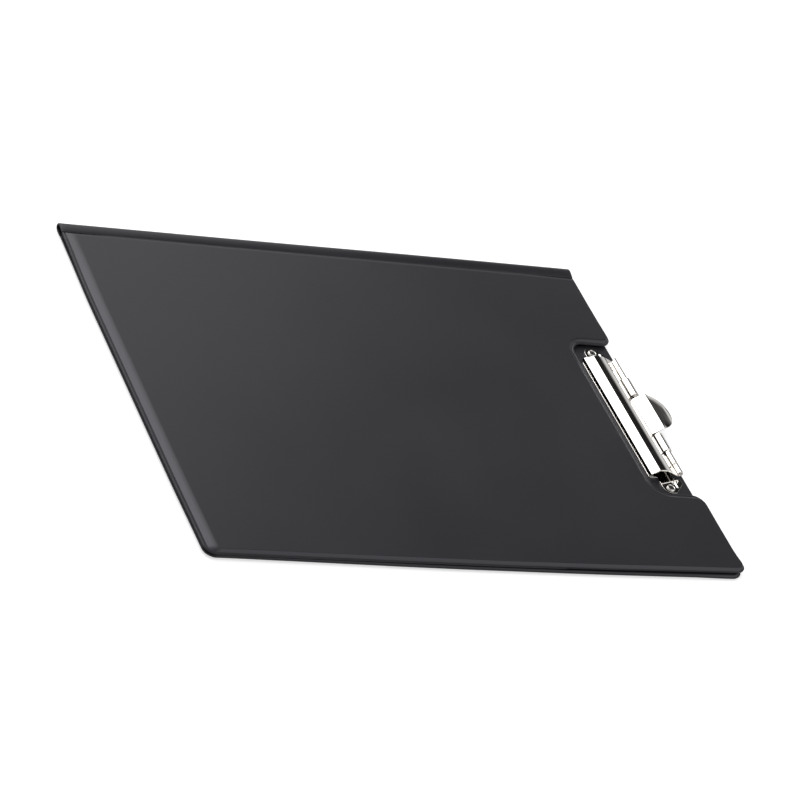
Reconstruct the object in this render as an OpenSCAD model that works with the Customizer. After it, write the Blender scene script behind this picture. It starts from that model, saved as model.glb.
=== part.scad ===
// Foldover clipboard: two stiffened vinyl panels joined by a soft fold, with a
// long spring clip riveted to the back panel and standing in a notch of the cover.
// It lies closed on its back. X runs from the foot edge to the head edge with the
// clip, Y from the fore-edge to the fold, Z up from the table. The origin is the
// middle of the closed outline, on the table.

/* [Panels] */
// Length of the closed clipboard, foot edge to head edge
panel_l = 318; // [280:1:360]
// Width of the closed clipboard, fore-edge to crest of the fold
panel_w = 237; // [200:1:280]
// Thickness of the greyboard stiffeners
core_t = 1.6; // [1.4:0.1:2.4]
// Thickness of one vinyl sheet
skin_t = 0.4; // [0.3:0.05:0.5]
// Width of the flat welded rim round each panel
rim_w = 1.6; // [1:0.1:2.4]
// Radius of the two corners at the fore-edge
corner_r = 6; // [4:0.5:12]
// Stiffener's distance from the foot edge
foot_margin = 6; // [4:0.5:12]
// Stiffener's distance from the fore-edge
fore_margin = 3.4; // [3:0.1:8]
// Stiffener's distance from the head edge and from the notch
head_margin = 4; // [3.2:0.1:6]
// Air between the back panel and the pocket on the closed cover
closed_gap = 0.4; // [0.4:0.1:1.5]

/* [Fold] */
// Width of the soft flap between weld line and crest
flap_w = 7; // [5:0.5:12]
// Clearance round each crease line
crease_gap = 0.4; // [0.38:0.01:0.5]
// How far the fold strip bulges outwards
fold_bulge = 0.4; // [0.2:0.1:0.6]

/* [Pocket] */
// Thickness of the pocket sheet inside the cover
pocket_t = 0.3; // [0.2:0.05:0.4]
// Length of the pocket, from the foot edge
pocket_l = 205; // [120:5:250]
// Width of the thumb cut in the pocket's mouth
thumb_cut_w = 60; // [30:5:90]

/* [Notch] */
// Width of the notch in the cover
notch_w = 116.4; // [116:0.2:140]
// Depth of the notch from the head edge
notch_d = 29.3; // [28.5:0.1:32]
// Radius inside the notch
notch_in_r = 9; // [4:0.5:12]
// Radius of the cover's corners beside the notch
notch_out_r = 7; // [4:0.5:10]

/* [Clip] */
// Offset of the clip from the middle, towards the fore-edge
clip_shift = 2.6; // [0:0.1:4]
// Thickness of the clip's sheet steel
sheet_t = 0.7; // [0.5:0.05:0.9]
// Diameter of the hinge pin
pin_d = 2; // [1.8:0.1:2.4]
// Radial clearance in the hinge
hinge_fit = 0.06; // [0.02:0.01:0.1]
// Distance of the hinge pin from the head edge
pin_setback = 7.6; // [6:0.1:8]
// Length of the jaw along the head edge
jaw_l = 88.8; // [82:0.2:92]
// Hinge pin to the jaw's front edge
jaw_reach = 18; // [17.5:0.1:20]
// Height of the jaw's crest above its front edge
jaw_rise = 5.1; // [4.8:0.1:6]
// Width of the jaw's flat crest
crest_w = 6.5; // [5:0.1:7.5]
// Depth of the sloping front face, measured flat
face_run = 4.6; // [4:0.1:5]
// Width of each strap that the base rolls round the hinge
strap_w = 12.5; // [8:0.5:14]
// Middle of each strap from the middle of the clip
strap_y = 21.4; // [20.5:0.1:24]
// Relief cut in the knuckles, from the middle of the clip
relief_y = 37.6; // [32:0.2:40]

/* [Thumb tab] */
// Radius of the round thumb tab
tab_r = 13.5; // [11:0.5:13.5]
// Slope of the tab's root
tab_slope = 40; // [35:1:45]
// Length of the tab's sloping root
tab_root = 6.1; // [5.5:0.1:7]

/* [Base plate] */
// How far the base plate stands out in front of the jaw
base_lip = 1.4; // [1:0.1:1.6]
// Length of each riveted tongue beyond the jaw
tongue_l = 11.5; // [11:0.1:12]
// Distance of each rivet beyond the jaw
rivet_out = 7.7; // [6:0.1:8]
// Rivet's distance in front of the hinge pin
rivet_front = 8.5; // [8:0.1:9]
// Diameter of the rivet's shank
rivet_d = 4; // [3:0.1:4.2]
// Diameter of the rivet's flat head under the back panel
rivet_head_d = 8; // [6:0.5:9]
// Diameter of the clinched ring on the base plate
ring_d = 5; // [4.9:0.1:6]

/* [Spring] */
// Diameter of the spring wire
wire_d = 0.6; // [0.5:0.05:0.65]
// Full turns of the spring
spring_turns = 10; // [6:1:12]
// Distance between turns
spring_pitch = 0.75; // [0.7:0.05:0.9]

/* [Hidden] */

vinyl = "#3c3b3f";
greyboard = "#8d8478";
nickel = "#d8d6d2";
$fn = 48;
hull_fn = 32;
big = 1000;
film = 0.01;          // thin slice that a hull starts from
bend_step = 9;        // degrees of bend for each facet

// panels, from the table up
panel_t = core_t + 2 * skin_t;
seam_h = panel_t / 2;
cover_z = panel_t + closed_gap + pocket_t;
crease_y = panel_w / 2 - skin_t - fold_bulge;
fold_end = crease_gap + skin_t;   // crease line to the middle of each rounded end
flap_y = crease_y - fold_end;
weld_y = panel_w / 2 - flap_w;
core_gap_fold = 1.8;  // stiffener to the weld line at the fold
core_corner_r = 2;

// margins of an outline: [foot, fore-edge, head and notch, y of the fold side, corner radius]
weld_line = [rim_w, rim_w, rim_w, weld_y, corner_r - rim_w];
lining_line = weld_line + skin_t * [1, 1, 1, -1, -1];
core_line = [foot_margin, fore_margin, head_margin, weld_y - core_gap_fold, core_corner_r];

// notch
clip_y = -clip_shift;
notch_x = panel_l / 2 - notch_d;
notch_y0 = clip_y - notch_w / 2;
notch_y1 = clip_y + notch_w / 2;
arm_overlap = 40;     // how far the cover's two arms reach into its main field

// hinge of the clip
pin_r = pin_d / 2;
roll_ir = pin_r + hinge_fit;
roll_or = roll_ir + sheet_t;
strap_ir = roll_or + hinge_fit;
strap_or = strap_ir + sheet_t;
roll_lift = 1.2;      // knuckle above the base plate
base_top = -roll_or - roll_lift;
pin_x = panel_l / 2 - pin_setback;
pin_z = panel_t + sheet_t - base_top;
jaw_rest = base_top + 0.05;

// corners of the jaw's upper surface, measured from the pin
jaw_front = [-jaw_reach, jaw_rest];
jaw_crest_a = jaw_front + [face_run, jaw_rise - 0.2];
jaw_crest_b = jaw_crest_a + [crest_w, 0.45];
crest_bend_a = 2.6;
crest_bend_b = 10.5;
root_angle = atan2(jaw_crest_b[1], jaw_crest_b[0]) + acos(roll_ir / norm(jaw_crest_b));
seam_closed = 172;    // knuckle's lip, degrees round the pin
seam_open = 132;
window_gap = 1.1;      // strap to plate, in front of the hinge
window_play = 0.6;    // window to strap, along the pin
window_front = strap_or + window_gap;
knuckle_y = strap_y - strap_w / 2 - window_play;
relief_w = 0.5;

// thumb tab: the spring must turn under its root
coil_r = pin_r + hinge_fit + wire_d / 2;
root_clear = 0.16;
tab_lift = coil_r + wire_d / 2 + root_clear + sheet_t;
tab_dir = [cos(tab_slope), sin(tab_slope)];
tab_up = [-sin(tab_slope), cos(tab_slope)];
tab_valley = tab_lift * tab_up - 1.15 * tab_dir;
tab_bend = tab_valley + tab_root * tab_dir;
lip_slope = -4;
lip_droop = -14;
lip_l = 6.5;
tab_centre = -0.4;
tab_knee = tab_bend + lip_l * [cos(lip_slope), sin(lip_slope)];
tab_tip = tab_knee + tab_r * [cos(lip_droop), sin(lip_droop)];

// base plate
base_front = -jaw_reach - base_lip;
base_rear = -strap_ir;
base_heel = 2.5;      // part of the plate under the spring's lower leg
heel_w = 20;
tongue_x = -13.4;
tongue_rear = 0.9;
tongue_r = 4.5;       // front corner
tongue_chamfer = 7.2; // rear corner
tongue_gap = 0.8;     // jaw's end to the tongue's wider part
bead_x = -3.8;
bead_r = 0.6;
bead_sunk = 0.12;
strap_end = -60;
rivet_y = jaw_l / 2 + rivet_out;
rivet_hole_r = rivet_d / 2 + 0.05;
head_t = 0.6;
head_recess = 0.1;
head_seat_d = rivet_head_d + 0.5;
rivet_wall = 0.4;
rivet_bore_r = rivet_d / 2 - rivet_wall;
ring_h = 0.7;

// ---- shapes that repeat ----

function unit(v) = v / norm(v);
function right_of(v) = [v[1], -v[0]];
function turned(v, a) = [v[0] * cos(a) - v[1] * sin(a), v[0] * sin(a) + v[1] * cos(a)];
function heading(v, i) = unit(v[i + 1] - v[i]);
function turn_at(v, i) = let(a = heading(v, i - 1), b = heading(v, i)) atan2(a[0] * b[1] - a[1] * b[0], a * b);

// arc that replaces corner i of the path v
function bend(v, r, i) =
    let(turn = turn_at(v, i), a = heading(v, i - 1), start = v[i] - a * r * tan(abs(turn) / 2),
        centre = start - sign(turn) * r * right_of(a), steps = max(2, ceil(abs(turn) / bend_step)))
    [for (k = [0 : steps]) centre + turned(start - centre, turn * k / steps)];

function bent(v, r) =
    [v[0], for (i = [1 : 1 : len(v) - 2]) each bend(v, r[i - 1], i), v[len(v) - 1]];

// the same path on the other side of the sheet, to the right of its direction
function other_side(v, t) =
    [for (i = [0 : len(v) - 1])
        let(n = right_of(heading(v, max(i - 1, 0))), m = right_of(heading(v, min(i, len(v) - 2))))
        v[i] + t * (n + m) / (1 + n * m)];

function reversed(v) = [for (i = [len(v) - 1 : -1 : 0]) v[i]];

// section of a bent sheet: corners of one face, bend radii on that face, thickness
function sheet_section(v, r, t) =
    let(q = [for (i = [1 : 1 : len(v) - 2]) max(r[i - 1] + sign(turn_at(v, i)) * t, 0.1)])
    concat(bent(v, r), reversed(bent(other_side(v, t), q)));

// extrudes an XZ section along Y
module along_y(y0, y1) {
    translate([0, y1, 0]) rotate([90, 0, 0]) linear_extrude(y1 - y0) children();
}

module both_sides(y0, y1) {
    along_y(y0, y1) children();
    along_y(-y1, -y0) children();
}

// ring round the pin, open from angle a0 on through to a1, anticlockwise
module roll_section(ri, ro, a0, a1) {
    reach = 2 * ro;
    difference() {
        circle(ro);
        circle(ri);
        polygon(concat([[0, 0]], [for (k = [0 : 4]) let(a = a0 + (a1 - a0) * k / 4) reach * [cos(a), sin(a)]]));
    }
}

// corners of a rectangle with its own radius at each corner, anticlockwise from the low one
function round_box(x0, y0, x1, y1, r) =
    let(c = [[x0 + r[0], y0 + r[0]], [x1 - r[1], y0 + r[1]], [x1 - r[2], y1 - r[2]], [x0 + r[3], y1 - r[3]]])
    [for (i = [0 : 3]) for (k = [0 : 4]) let(a = 180 + 90 * i + 90 * k / 4) c[i] + r[i] * [cos(a), sin(a)]];

// plan of a whole panel inside the given margins
function field(m) =
    round_box(-panel_l / 2 + m[0], -panel_w / 2 + m[1], panel_l / 2 - m[2], m[3], [m[4], m[4], 0.1, 0.1]);

// the cover's plan in three fields that overlap: main, arm at the fold, arm at the fore-edge
function cover_fields(m) = let(tip_r = max(notch_out_r - m[2], 1)) [
    round_box(-panel_l / 2 + m[0], -panel_w / 2 + m[1], notch_x - m[2], m[3], [m[4], 0.1, 0.1, 0.1]),
    round_box(notch_x - arm_overlap, notch_y1 + m[2], panel_l / 2 - m[2], m[3], [0.1, tip_r, 0.1, 0.1]),
    round_box(notch_x - arm_overlap, -panel_w / 2 + m[1], panel_l / 2 - m[2], notch_y0 - m[2],
              [0.1, m[4], tip_r, 0.1])];

// sloping field between plan a at height za and plan b at height zb
module pillow(za, a, zb, b) {
    hull($fn = hull_fn) {
        translate([0, 0, za]) linear_extrude(film) polygon(a);
        translate([0, 0, zb - film]) linear_extrude(film) polygon(b);
    }
}

// points on an arc round c
function arc(c, r, a0, a1, n) = [for (k = [0 : n]) let(a = a0 + (a1 - a0) * k / n) c + r * [cos(a), sin(a)]];

// extrudes a YZ section over the whole length
module along_x() {
    translate([-panel_l / 2, 0, 0]) rotate([90, 0, 90]) linear_extrude(panel_l) children();
}

// plan of the flat rim, with true arcs at the fore-edge corners
module rim_plan() {
    x = panel_l / 2;
    y = -panel_w / 2;
    translate([-x, y + corner_r]) square([panel_l, flap_y - y - corner_r]);
    translate([-x + corner_r, y]) square([panel_l - 2 * corner_r, 2 * corner_r]);
    for (s = [-1, 1]) translate([s * (x - corner_r), y + corner_r]) circle(corner_r);
}

// what the notch takes away from the cover, with the rounded corners at its mouth
module notch_plan() {
    r = notch_in_r;
    x1 = panel_l / 2;
    half = notch_w / 2;
    for (s = [-1, 1]) translate([0, clip_y]) scale([1, s, 1]) {
        translate([notch_x + r, 0]) square([notch_d + 1 - r, half]);
        translate([notch_x, 0]) square([2 * r, half - r]);
        translate([notch_x + r, half - r]) circle(r);
        translate([x1 - notch_out_r, half - 0.01]) difference() {
            square([notch_out_r + 1, notch_out_r + 0.01]);
            translate([0, notch_out_r + 0.01]) circle(notch_out_r);
        }
    }
}

// holes for the two rivets
module rivet_holes(d, z0, z1) {
    for (s = [-1, 1])
        translate([pin_x - rivet_front, clip_y + s * rivet_y, z0]) cylinder(d = d, h = z1 - z0);
}

// flat rim, a sheet thick, and the soft flap with its rounded end at the crease
module rim(z, t) {
    translate([0, 0, z]) linear_extrude(t) rim_plan();
    along_x() translate([flap_y, z + t]) intersection() {
        circle(t);
        translate([-0.01, -t]) square([t + 0.01, t]);
    }
}

// one vinyl sheet of the back panel, flat face down
module back_skin() {
    difference() {
        union() {
            pillow(0, field(core_line), seam_h - skin_t, field(weld_line));
            rim(seam_h - skin_t, skin_t);
        }
        pillow(skin_t, field(core_line), seam_h + film, field(lining_line));
    }
}

// one vinyl sheet of the cover, flat face down, with the notch for the clip
module cover_skin() {
    outer = [cover_fields(core_line), cover_fields(weld_line)];
    inner = [cover_fields(core_line), cover_fields(lining_line)];
    difference() {
        union() {
            for (i = [0 : 2]) pillow(0, outer[0][i], seam_h - skin_t, outer[1][i]);
            difference() {
                rim(seam_h - skin_t, skin_t);
                linear_extrude(panel_t) notch_plan();
            }
        }
        for (i = [0 : 2]) pillow(skin_t, inner[0][i], seam_h + film, inner[1][i]);
    }
}

// one layer of the fold strip, an arc that bulges outwards between the two crease
// lines and has rounded ends; out is 1 for the outer layer and 0 for the inner one
module fold_layer(out) {
    z0 = seam_h + fold_end;
    half_h = (cover_z - 2 * fold_end) / 2;
    r = (half_h * half_h + fold_bulge * fold_bulge) / (2 * fold_bulge);
    half_a = 2 * atan2(fold_bulge, half_h);
    far = r + out * skin_t;
    near = far - skin_t;
    cap = out == 1 ? 0 : 90;
    top = r * [cos(half_a), sin(half_a)];
    low = [top[0], -top[1]];
    along_x() translate([crease_y + fold_bulge - r, z0 + half_h]) polygon(concat(
        arc([0, 0], far, -half_a, half_a, 16),
        arc(top, skin_t, half_a + cap, half_a + cap + 90, 6),
        arc([0, 0], near, half_a, -half_a, 16),
        arc(low, skin_t, -half_a - cap - 90, -half_a - cap, 6)));
}

// ---- pieces ----

module back_core() {
    color(greyboard) difference() {
        translate([0, 0, skin_t]) linear_extrude(core_t) polygon(field(core_line));
        rivet_holes(2 * rivet_hole_r, 0, panel_t);
        rivet_holes(head_seat_d, 0, head_recess + head_t + 0.05);
    }
}

module back_outer_skin() {
    color(vinyl) difference() {
        back_skin();
        rivet_holes(head_seat_d, -1, seam_h);
    }
}

module back_inner_skin() {
    color(vinyl) difference() {
        translate([0, 0, panel_t]) mirror([0, 0, 1]) back_skin();
        rivet_holes(2 * rivet_hole_r, seam_h, panel_t + 1);
    }
}

module fold_outer_skin() {
    color(vinyl) fold_layer(1);
}

module fold_inner_skin() {
    color(vinyl) fold_layer(0);
}

module cover_core() {
    color(greyboard) translate([0, 0, cover_z + skin_t]) linear_extrude(core_t)
        for (f = cover_fields(core_line)) polygon(f);
}

module cover_outer_skin() {
    color(vinyl) translate([0, 0, cover_z + panel_t]) mirror([0, 0, 1]) cover_skin();
}

module cover_inner_skin() {
    color(vinyl) translate([0, 0, cover_z]) cover_skin();
}

// pocket sheet, welded in with the rim on three sides and open towards the clip
module cover_pocket() {
    mouth_x = -panel_l / 2 + pocket_l;
    edge_y = weld_y + rim_w;
    color(vinyl) translate([0, 0, cover_z]) difference() {
        translate([0, 0, -pocket_t]) {
            pillow(0, field(core_line), seam_h - skin_t, field(weld_line));
            translate([0, 0, seam_h - skin_t]) linear_extrude(pocket_t) intersection() {
                rim_plan();
                translate([-big / 2, edge_y - big]) square(big);
            }
        }
        pillow(0, field(core_line), seam_h - skin_t, field(weld_line));
        translate([mouth_x, -big / 2, -big / 2]) cube([big, big, big]);
        translate([mouth_x, clip_y, -1]) cylinder(d = thumb_cut_w, h = 2 + seam_h);
    }
}

// places a piece of the clip, which is drawn round its hinge pin
module at_pin() {
    translate([pin_x, clip_y, pin_z]) children();
}

// base plate: lies on the back panel, ends in two riveted tongues, and two straps
// rise from its rear edge and roll over the jaw's knuckles
module clip_base() {
    color(nickel) at_pin() difference() {
        union() {
            translate([0, 0, base_top - sheet_t]) linear_extrude(sheet_t) base_plan();
            both_sides(strap_y - strap_w / 2, strap_y + strap_w / 2) strap_section();
            base_bead();
        }
        for (s = [-1, 1])
            translate([-rivet_front, s * rivet_y, base_top - sheet_t - 1]) cylinder(r = rivet_hole_r, h = sheet_t + 2);
    }
}

module base_plan() {
    translate([base_front, -jaw_l / 2]) square([base_rear - base_front, jaw_l]);
    translate([base_rear - 1, -heel_w / 2]) square([base_heel - base_rear + 1, heel_w]);
    for (s = [-1, 1]) scale([1, s, 1]) tongue_plan();
}

// tongue beyond the jaw's end: round front corner, chamfered rear corner
module tongue_plan() {
    y0 = jaw_l / 2 + tongue_gap;
    y1 = jaw_l / 2 + tongue_l;
    x0 = tongue_x + tongue_r;
    translate([tongue_x, 0]) square([base_rear - tongue_x, y1 - tongue_r]);
    translate([x0, y1 - tongue_r]) circle(tongue_r);
    polygon([[x0, y0], [tongue_rear, y0], [tongue_rear, y1 - tongue_chamfer],
             [tongue_rear - tongue_chamfer, y1], [x0, y1]]);
}

module strap_section() {
    polygon(sheet_section([[base_rear - 4, base_top], [-strap_or, base_top], [-strap_or, 0]], [0.5], sheet_t));
    roll_section(strap_ir, strap_or, 180, 360 + strap_end);
}

// stiffening bead pressed along the plate, behind the rivets
module base_bead() {
    half = jaw_l / 2 + tongue_l - tongue_r;
    intersection() {
        translate([bead_x, 0, base_top - bead_sunk]) rotate([90, 0, 0]) {
            cylinder(r = bead_r, h = 2 * half, center = true);
            for (s = [-1, 1]) translate([0, 0, s * half]) sphere(r = bead_r);
        }
        translate([bead_x - 2, -big / 2, base_top - sheet_t / 2]) cube([4, big, 2]);
    }
}

// tubular rivet: flat head under the panel, ring clinched over the base plate
module clip_rivets() {
    foot = head_recess;
    plate = panel_t + sheet_t;
    color(nickel) for (s = [-1, 1]) translate([pin_x - rivet_front, clip_y + s * rivet_y, 0]) difference() {
        union() {
            translate([0, 0, foot]) cylinder(d = rivet_head_d, h = head_t);
            translate([0, 0, foot]) cylinder(d = rivet_d, h = plate - foot);
            translate([0, 0, plate]) rotate_extrude() ring_section();
        }
        translate([0, 0, head_t + 0.6]) cylinder(r = rivet_bore_r, h = plate + ring_h);
    }
}

module ring_section() {
    r = ring_h / 2;
    square([ring_d / 2 - r, ring_h]);
    square([ring_d / 2, r]);
    translate([ring_d / 2 - r, r]) circle(r);
}

// jaw: arched plate with knuckles rolled up round the pin, windows for the base's
// straps, and the thumb tab bent up between the two pairs of knuckles
module clip_jaw() {
    end = jaw_l / 2;
    window_y = knuckle_y + strap_w + 2 * window_play;
    color(nickel) at_pin() {
        both_sides(tab_r, window_y) plate_section(window_front);
        both_sides(knuckle_y, window_y) knuckle_section(seam_closed, false);
        both_sides(window_y, relief_y - relief_w / 2) knuckle_section(seam_closed, true);
        both_sides(relief_y - relief_w / 2, relief_y + relief_w / 2) plate_section(0);
        both_sides(relief_y + relief_w / 2, end) knuckle_section(seam_open, true);
        intersection() {
            along_y(-tab_r, tab_r) tab_section();
            translate([0, 0, -big / 2]) linear_extrude(big) tab_plan();
        }
    }
}

// the jaw is drawn turned, so that its plate meets the knuckles straight under the pin
module turned_back() {
    rotate(root_angle - 270) children();
}

function turned_path(v) = [for (p = v) turned(p, 270 - root_angle)];

// from below the front edge over the front face to both ends of the crest
jaw_arch = turned_path([jaw_front - sheet_t * unit(jaw_crest_a - jaw_front), jaw_crest_a, jaw_crest_b]);

// bent sheet of the jaw, with its front edge cut flat where it rests on the base plate
module jaw_sheet(path, radii) {
    difference() {
        polygon(sheet_section(path, radii, sheet_t));
        rotate(270 - root_angle) translate([-big, jaw_rest - big]) square([2 * big, big]);
    }
}

// arched plate from the front edge to the knuckles, or only up to the windows
module plate_section(stop) {
    turned_back() plate_turned(stop);
}

module plate_turned(stop) {
    gap = stop > 0 ? sqrt(stop * stop - roll_or * roll_or) : 0;
    jaw_sheet(concat(jaw_arch, [[-gap, -roll_ir]]), [crest_bend_a, crest_bend_b]);
}

// knuckle rolled round the pin, with or without the plate it grows from
module knuckle_section(seam, with_plate) {
    turned_back() {
        roll_section(roll_ir, roll_or, seam + 270 - root_angle, 270);
        if (with_plate) plate_turned(0);
    }
}

// the tab's wider bend at the crest starts in line with the plate's
module tab_section() {
    path = concat(jaw_arch, turned_path([tab_valley, tab_bend, tab_knee, tab_tip]));
    plate_turn = turn_at(concat(jaw_arch, [[0, -roll_ir]]), 2);
    tab_crest_r = crest_bend_b * tan(plate_turn / 2) / tan(turn_at(path, 2) / 2);
    turned_back() jaw_sheet(path, [crest_bend_a, tab_crest_r, 0.8, 1.2, 6]);
}

module tab_plan() {
    translate([tab_centre, 0]) circle(tab_r, $fn = 96);
    translate([-jaw_reach, -tab_r]) square([jaw_reach + tab_centre, 2 * tab_r]);
}

module clip_pin() {
    color(nickel) at_pin() rotate([90, 0, 0]) cylinder(r = pin_r, h = jaw_l - 0.6, center = true);
}

// torsion spring: lower leg on the plate's heel, coils round the pin, upper leg under the tab
module clip_spring() {
    sides = 8;
    per_turn = 14;
    sweep = 360 * spring_turns + 270 - (90 + tab_slope);
    steps = ceil(sweep / 360 * per_turn);
    coil_l = spring_pitch * sweep / 360;
    leg_z = base_top + wire_d / 2 + 0.02;
    low_leg = [[base_heel - 0.3, -coil_l / 2, leg_z]];
    coil = [for (k = [0 : steps]) let(a = 270 - sweep * k / steps)
            [coil_r * cos(a), coil_l * (k / steps - 0.5), coil_r * sin(a)]];
    top = coil[steps] + 4.3 * [tab_dir[0], 0, tab_dir[1]];
    color(nickel) at_pin() wire(concat(low_leg, coil, [top]), wire_d / 2, sides);
}

function dir3(p, i) = unit(p[min(i + 1, len(p) - 1)] - p[max(i - 1, 0)]);

// wire swept along points that run round the Y axis
module wire(p, r, sides) {
    n = len(p);
    rings = [for (i = [0 : n - 1]) let(t = dir3(p, i), u = unit(cross(t, [0, 1, 0])), v = cross(u, t))
             for (k = [0 : sides - 1]) let(a = 360 * k / sides) p[i] + r * (cos(a) * u + sin(a) * v)];
    walls = [for (i = [0 : n - 2]) for (k = [0 : sides - 1]) let(j = (k + 1) % sides)
             each [[i * sides + k, (i + 1) * sides + k, (i + 1) * sides + j],
                   [i * sides + k, (i + 1) * sides + j, i * sides + j]]];
    ends = [[for (k = [0 : sides - 1]) k], [for (k = [sides - 1 : -1 : 0]) (n - 1) * sides + k]];
    polyhedron(rings, concat(walls, ends), convexity = 10);
}

back_core();
back_outer_skin();
back_inner_skin();
fold_outer_skin();
fold_inner_skin();
cover_core();
cover_outer_skin();
cover_inner_skin();
cover_pocket();
clip_base();
clip_rivets();
clip_jaw();
clip_pin();
clip_spring();
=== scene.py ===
import bpy
import bmesh
import math
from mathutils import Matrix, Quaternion, Vector, geometry, noise


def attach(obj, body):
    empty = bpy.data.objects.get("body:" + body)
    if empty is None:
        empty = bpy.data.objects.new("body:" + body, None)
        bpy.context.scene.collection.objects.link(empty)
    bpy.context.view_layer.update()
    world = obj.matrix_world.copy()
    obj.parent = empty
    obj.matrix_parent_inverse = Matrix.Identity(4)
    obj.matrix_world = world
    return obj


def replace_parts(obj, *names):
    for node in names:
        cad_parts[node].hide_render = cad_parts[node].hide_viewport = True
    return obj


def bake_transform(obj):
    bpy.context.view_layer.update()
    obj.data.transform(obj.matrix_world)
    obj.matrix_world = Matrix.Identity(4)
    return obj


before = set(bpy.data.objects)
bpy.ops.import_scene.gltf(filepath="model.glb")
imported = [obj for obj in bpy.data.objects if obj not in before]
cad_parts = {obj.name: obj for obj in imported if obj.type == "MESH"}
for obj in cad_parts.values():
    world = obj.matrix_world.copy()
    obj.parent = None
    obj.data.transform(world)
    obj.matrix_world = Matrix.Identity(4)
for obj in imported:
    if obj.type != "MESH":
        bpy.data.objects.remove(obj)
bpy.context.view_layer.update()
scene = bpy.context.scene
mm = 0.001


def lerp(a, b, t):
    return a + (b - a) * t


def clamp01(t):
    return max(0.0, min(1.0, t))


def smoothStep(a, b, x):
    t = clamp01((x - a) / (b - a))
    return t * t * (3 - 2 * t)


def curveValue(points, x):
    # straight steps through (x, value) pairs
    if x <= points[0][0]:
        return points[0][1]
    for (x0, v0), (x1, v1) in zip(points, points[1:]):
        if x <= x1:
            return lerp(v0, v1, (x - x0) / (x1 - x0))
    return points[-1][1]


def makeObject(name, verts, faces, material, normals=None):
    # vertices are in millimetres, the mesh is in metres
    mesh = bpy.data.meshes.new(name)
    mesh.from_pydata([Vector(v) * mm for v in verts], [], faces)
    mesh.validate()
    mesh.update()
    for p in mesh.polygons:
        p.use_smooth = True
    if normals:
        mesh.normals_split_custom_set_from_vertices([Vector(n).normalized() for n in normals])
    obj = bpy.data.objects.new(name, mesh)
    scene.collection.objects.link(obj)
    mesh.materials.append(material)
    return obj


def insidePolygon(p, loop):
    x, y = p
    inside = False
    j = len(loop) - 1
    for i in range(len(loop)):
        xi, yi = loop[i]
        xj, yj = loop[j]
        if (yi > y) != (yj > y) and x < (xj - xi) * (y - yi) / (yj - yi) + xi:
            inside = not inside
        j = i
    return inside


def fillLoops(loops, innerPoints):
    # triangles between the first loop and the holes that follow it, through the inner points;
    # the loops' own points keep their order at the start of the result
    points = [Vector(p) for loop in loops for p in loop]
    edges = []
    start = 0
    for loop in loops:
        n = len(loop)
        edges += [(start + i, start + (i + 1) % n) for i in range(n)]
        start += n
    points += [Vector(p) for p in innerPoints]
    spots, _, found, sources = geometry.delaunay_2d_cdt(points, edges, [], 0, 1e-7)[:4]
    first = [min(olds) for olds in sources]      # points that fell together count as the first of them
    triangles = []
    for tri in found:
        middle = (sum(spots[i].x for i in tri) / 3, sum(spots[i].y for i in tri) / 3)
        if insidePolygon(middle, loops[0]) and not any(insidePolygon(middle, h) for h in loops[1:]):
            triangles.append([first[i] for i in tri])
    return points, triangles


def feed(tree, node, inputs):
    # each input takes a value, or the output that drives it
    for name, value in inputs.items():
        if isinstance(value, bpy.types.NodeSocket):
            tree.links.new(value, node.inputs[name])
        else:
            node.inputs[name].default_value = value


def addNode(tree, kind, inputs=None, **settings):
    node = tree.nodes.new(kind)
    for name, value in settings.items():
        setattr(node, name, value)
    feed(tree, node, inputs or {})
    return node


def mathNode(tree, operation, a, b=None):
    inputs = {0: a} if b is None else {0: a, 1: b}
    return addNode(tree, "ShaderNodeMath", inputs, operation=operation).outputs[0]


def mapRange(tree, value, low, high, a, b, **settings):
    # goes from a to b while the value goes from low to high
    inputs = {"Value": value, "From Min": low, "From Max": high, "To Min": a, "To Max": b}
    return addNode(tree, "ShaderNodeMapRange", inputs, **settings).outputs[0]


def rampColour(tree, source, stops):
    ramp = addNode(tree, "ShaderNodeValToRGB", {"Fac": source})
    for element, (place, colour) in zip(ramp.color_ramp.elements, stops):
        element.position = place
        element.color = (*colour, 1.0)
    return ramp.outputs["Color"]


def startGroup(name, kind, inputs, outputs):
    # a node group with its named sockets, and the sockets as they are seen from inside
    group = bpy.data.node_groups.new(name, kind)
    for label, socket, value in inputs:
        made = group.interface.new_socket(name=label, in_out="INPUT", socket_type="NodeSocket" + socket)
        if value is not None:
            made.default_value = value
    for label, socket in outputs:
        group.interface.new_socket(name=label, in_out="OUTPUT", socket_type="NodeSocket" + socket)
    return group, group.nodes.new("NodeGroupInput").outputs, group.nodes.new("NodeGroupOutput").inputs


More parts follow.
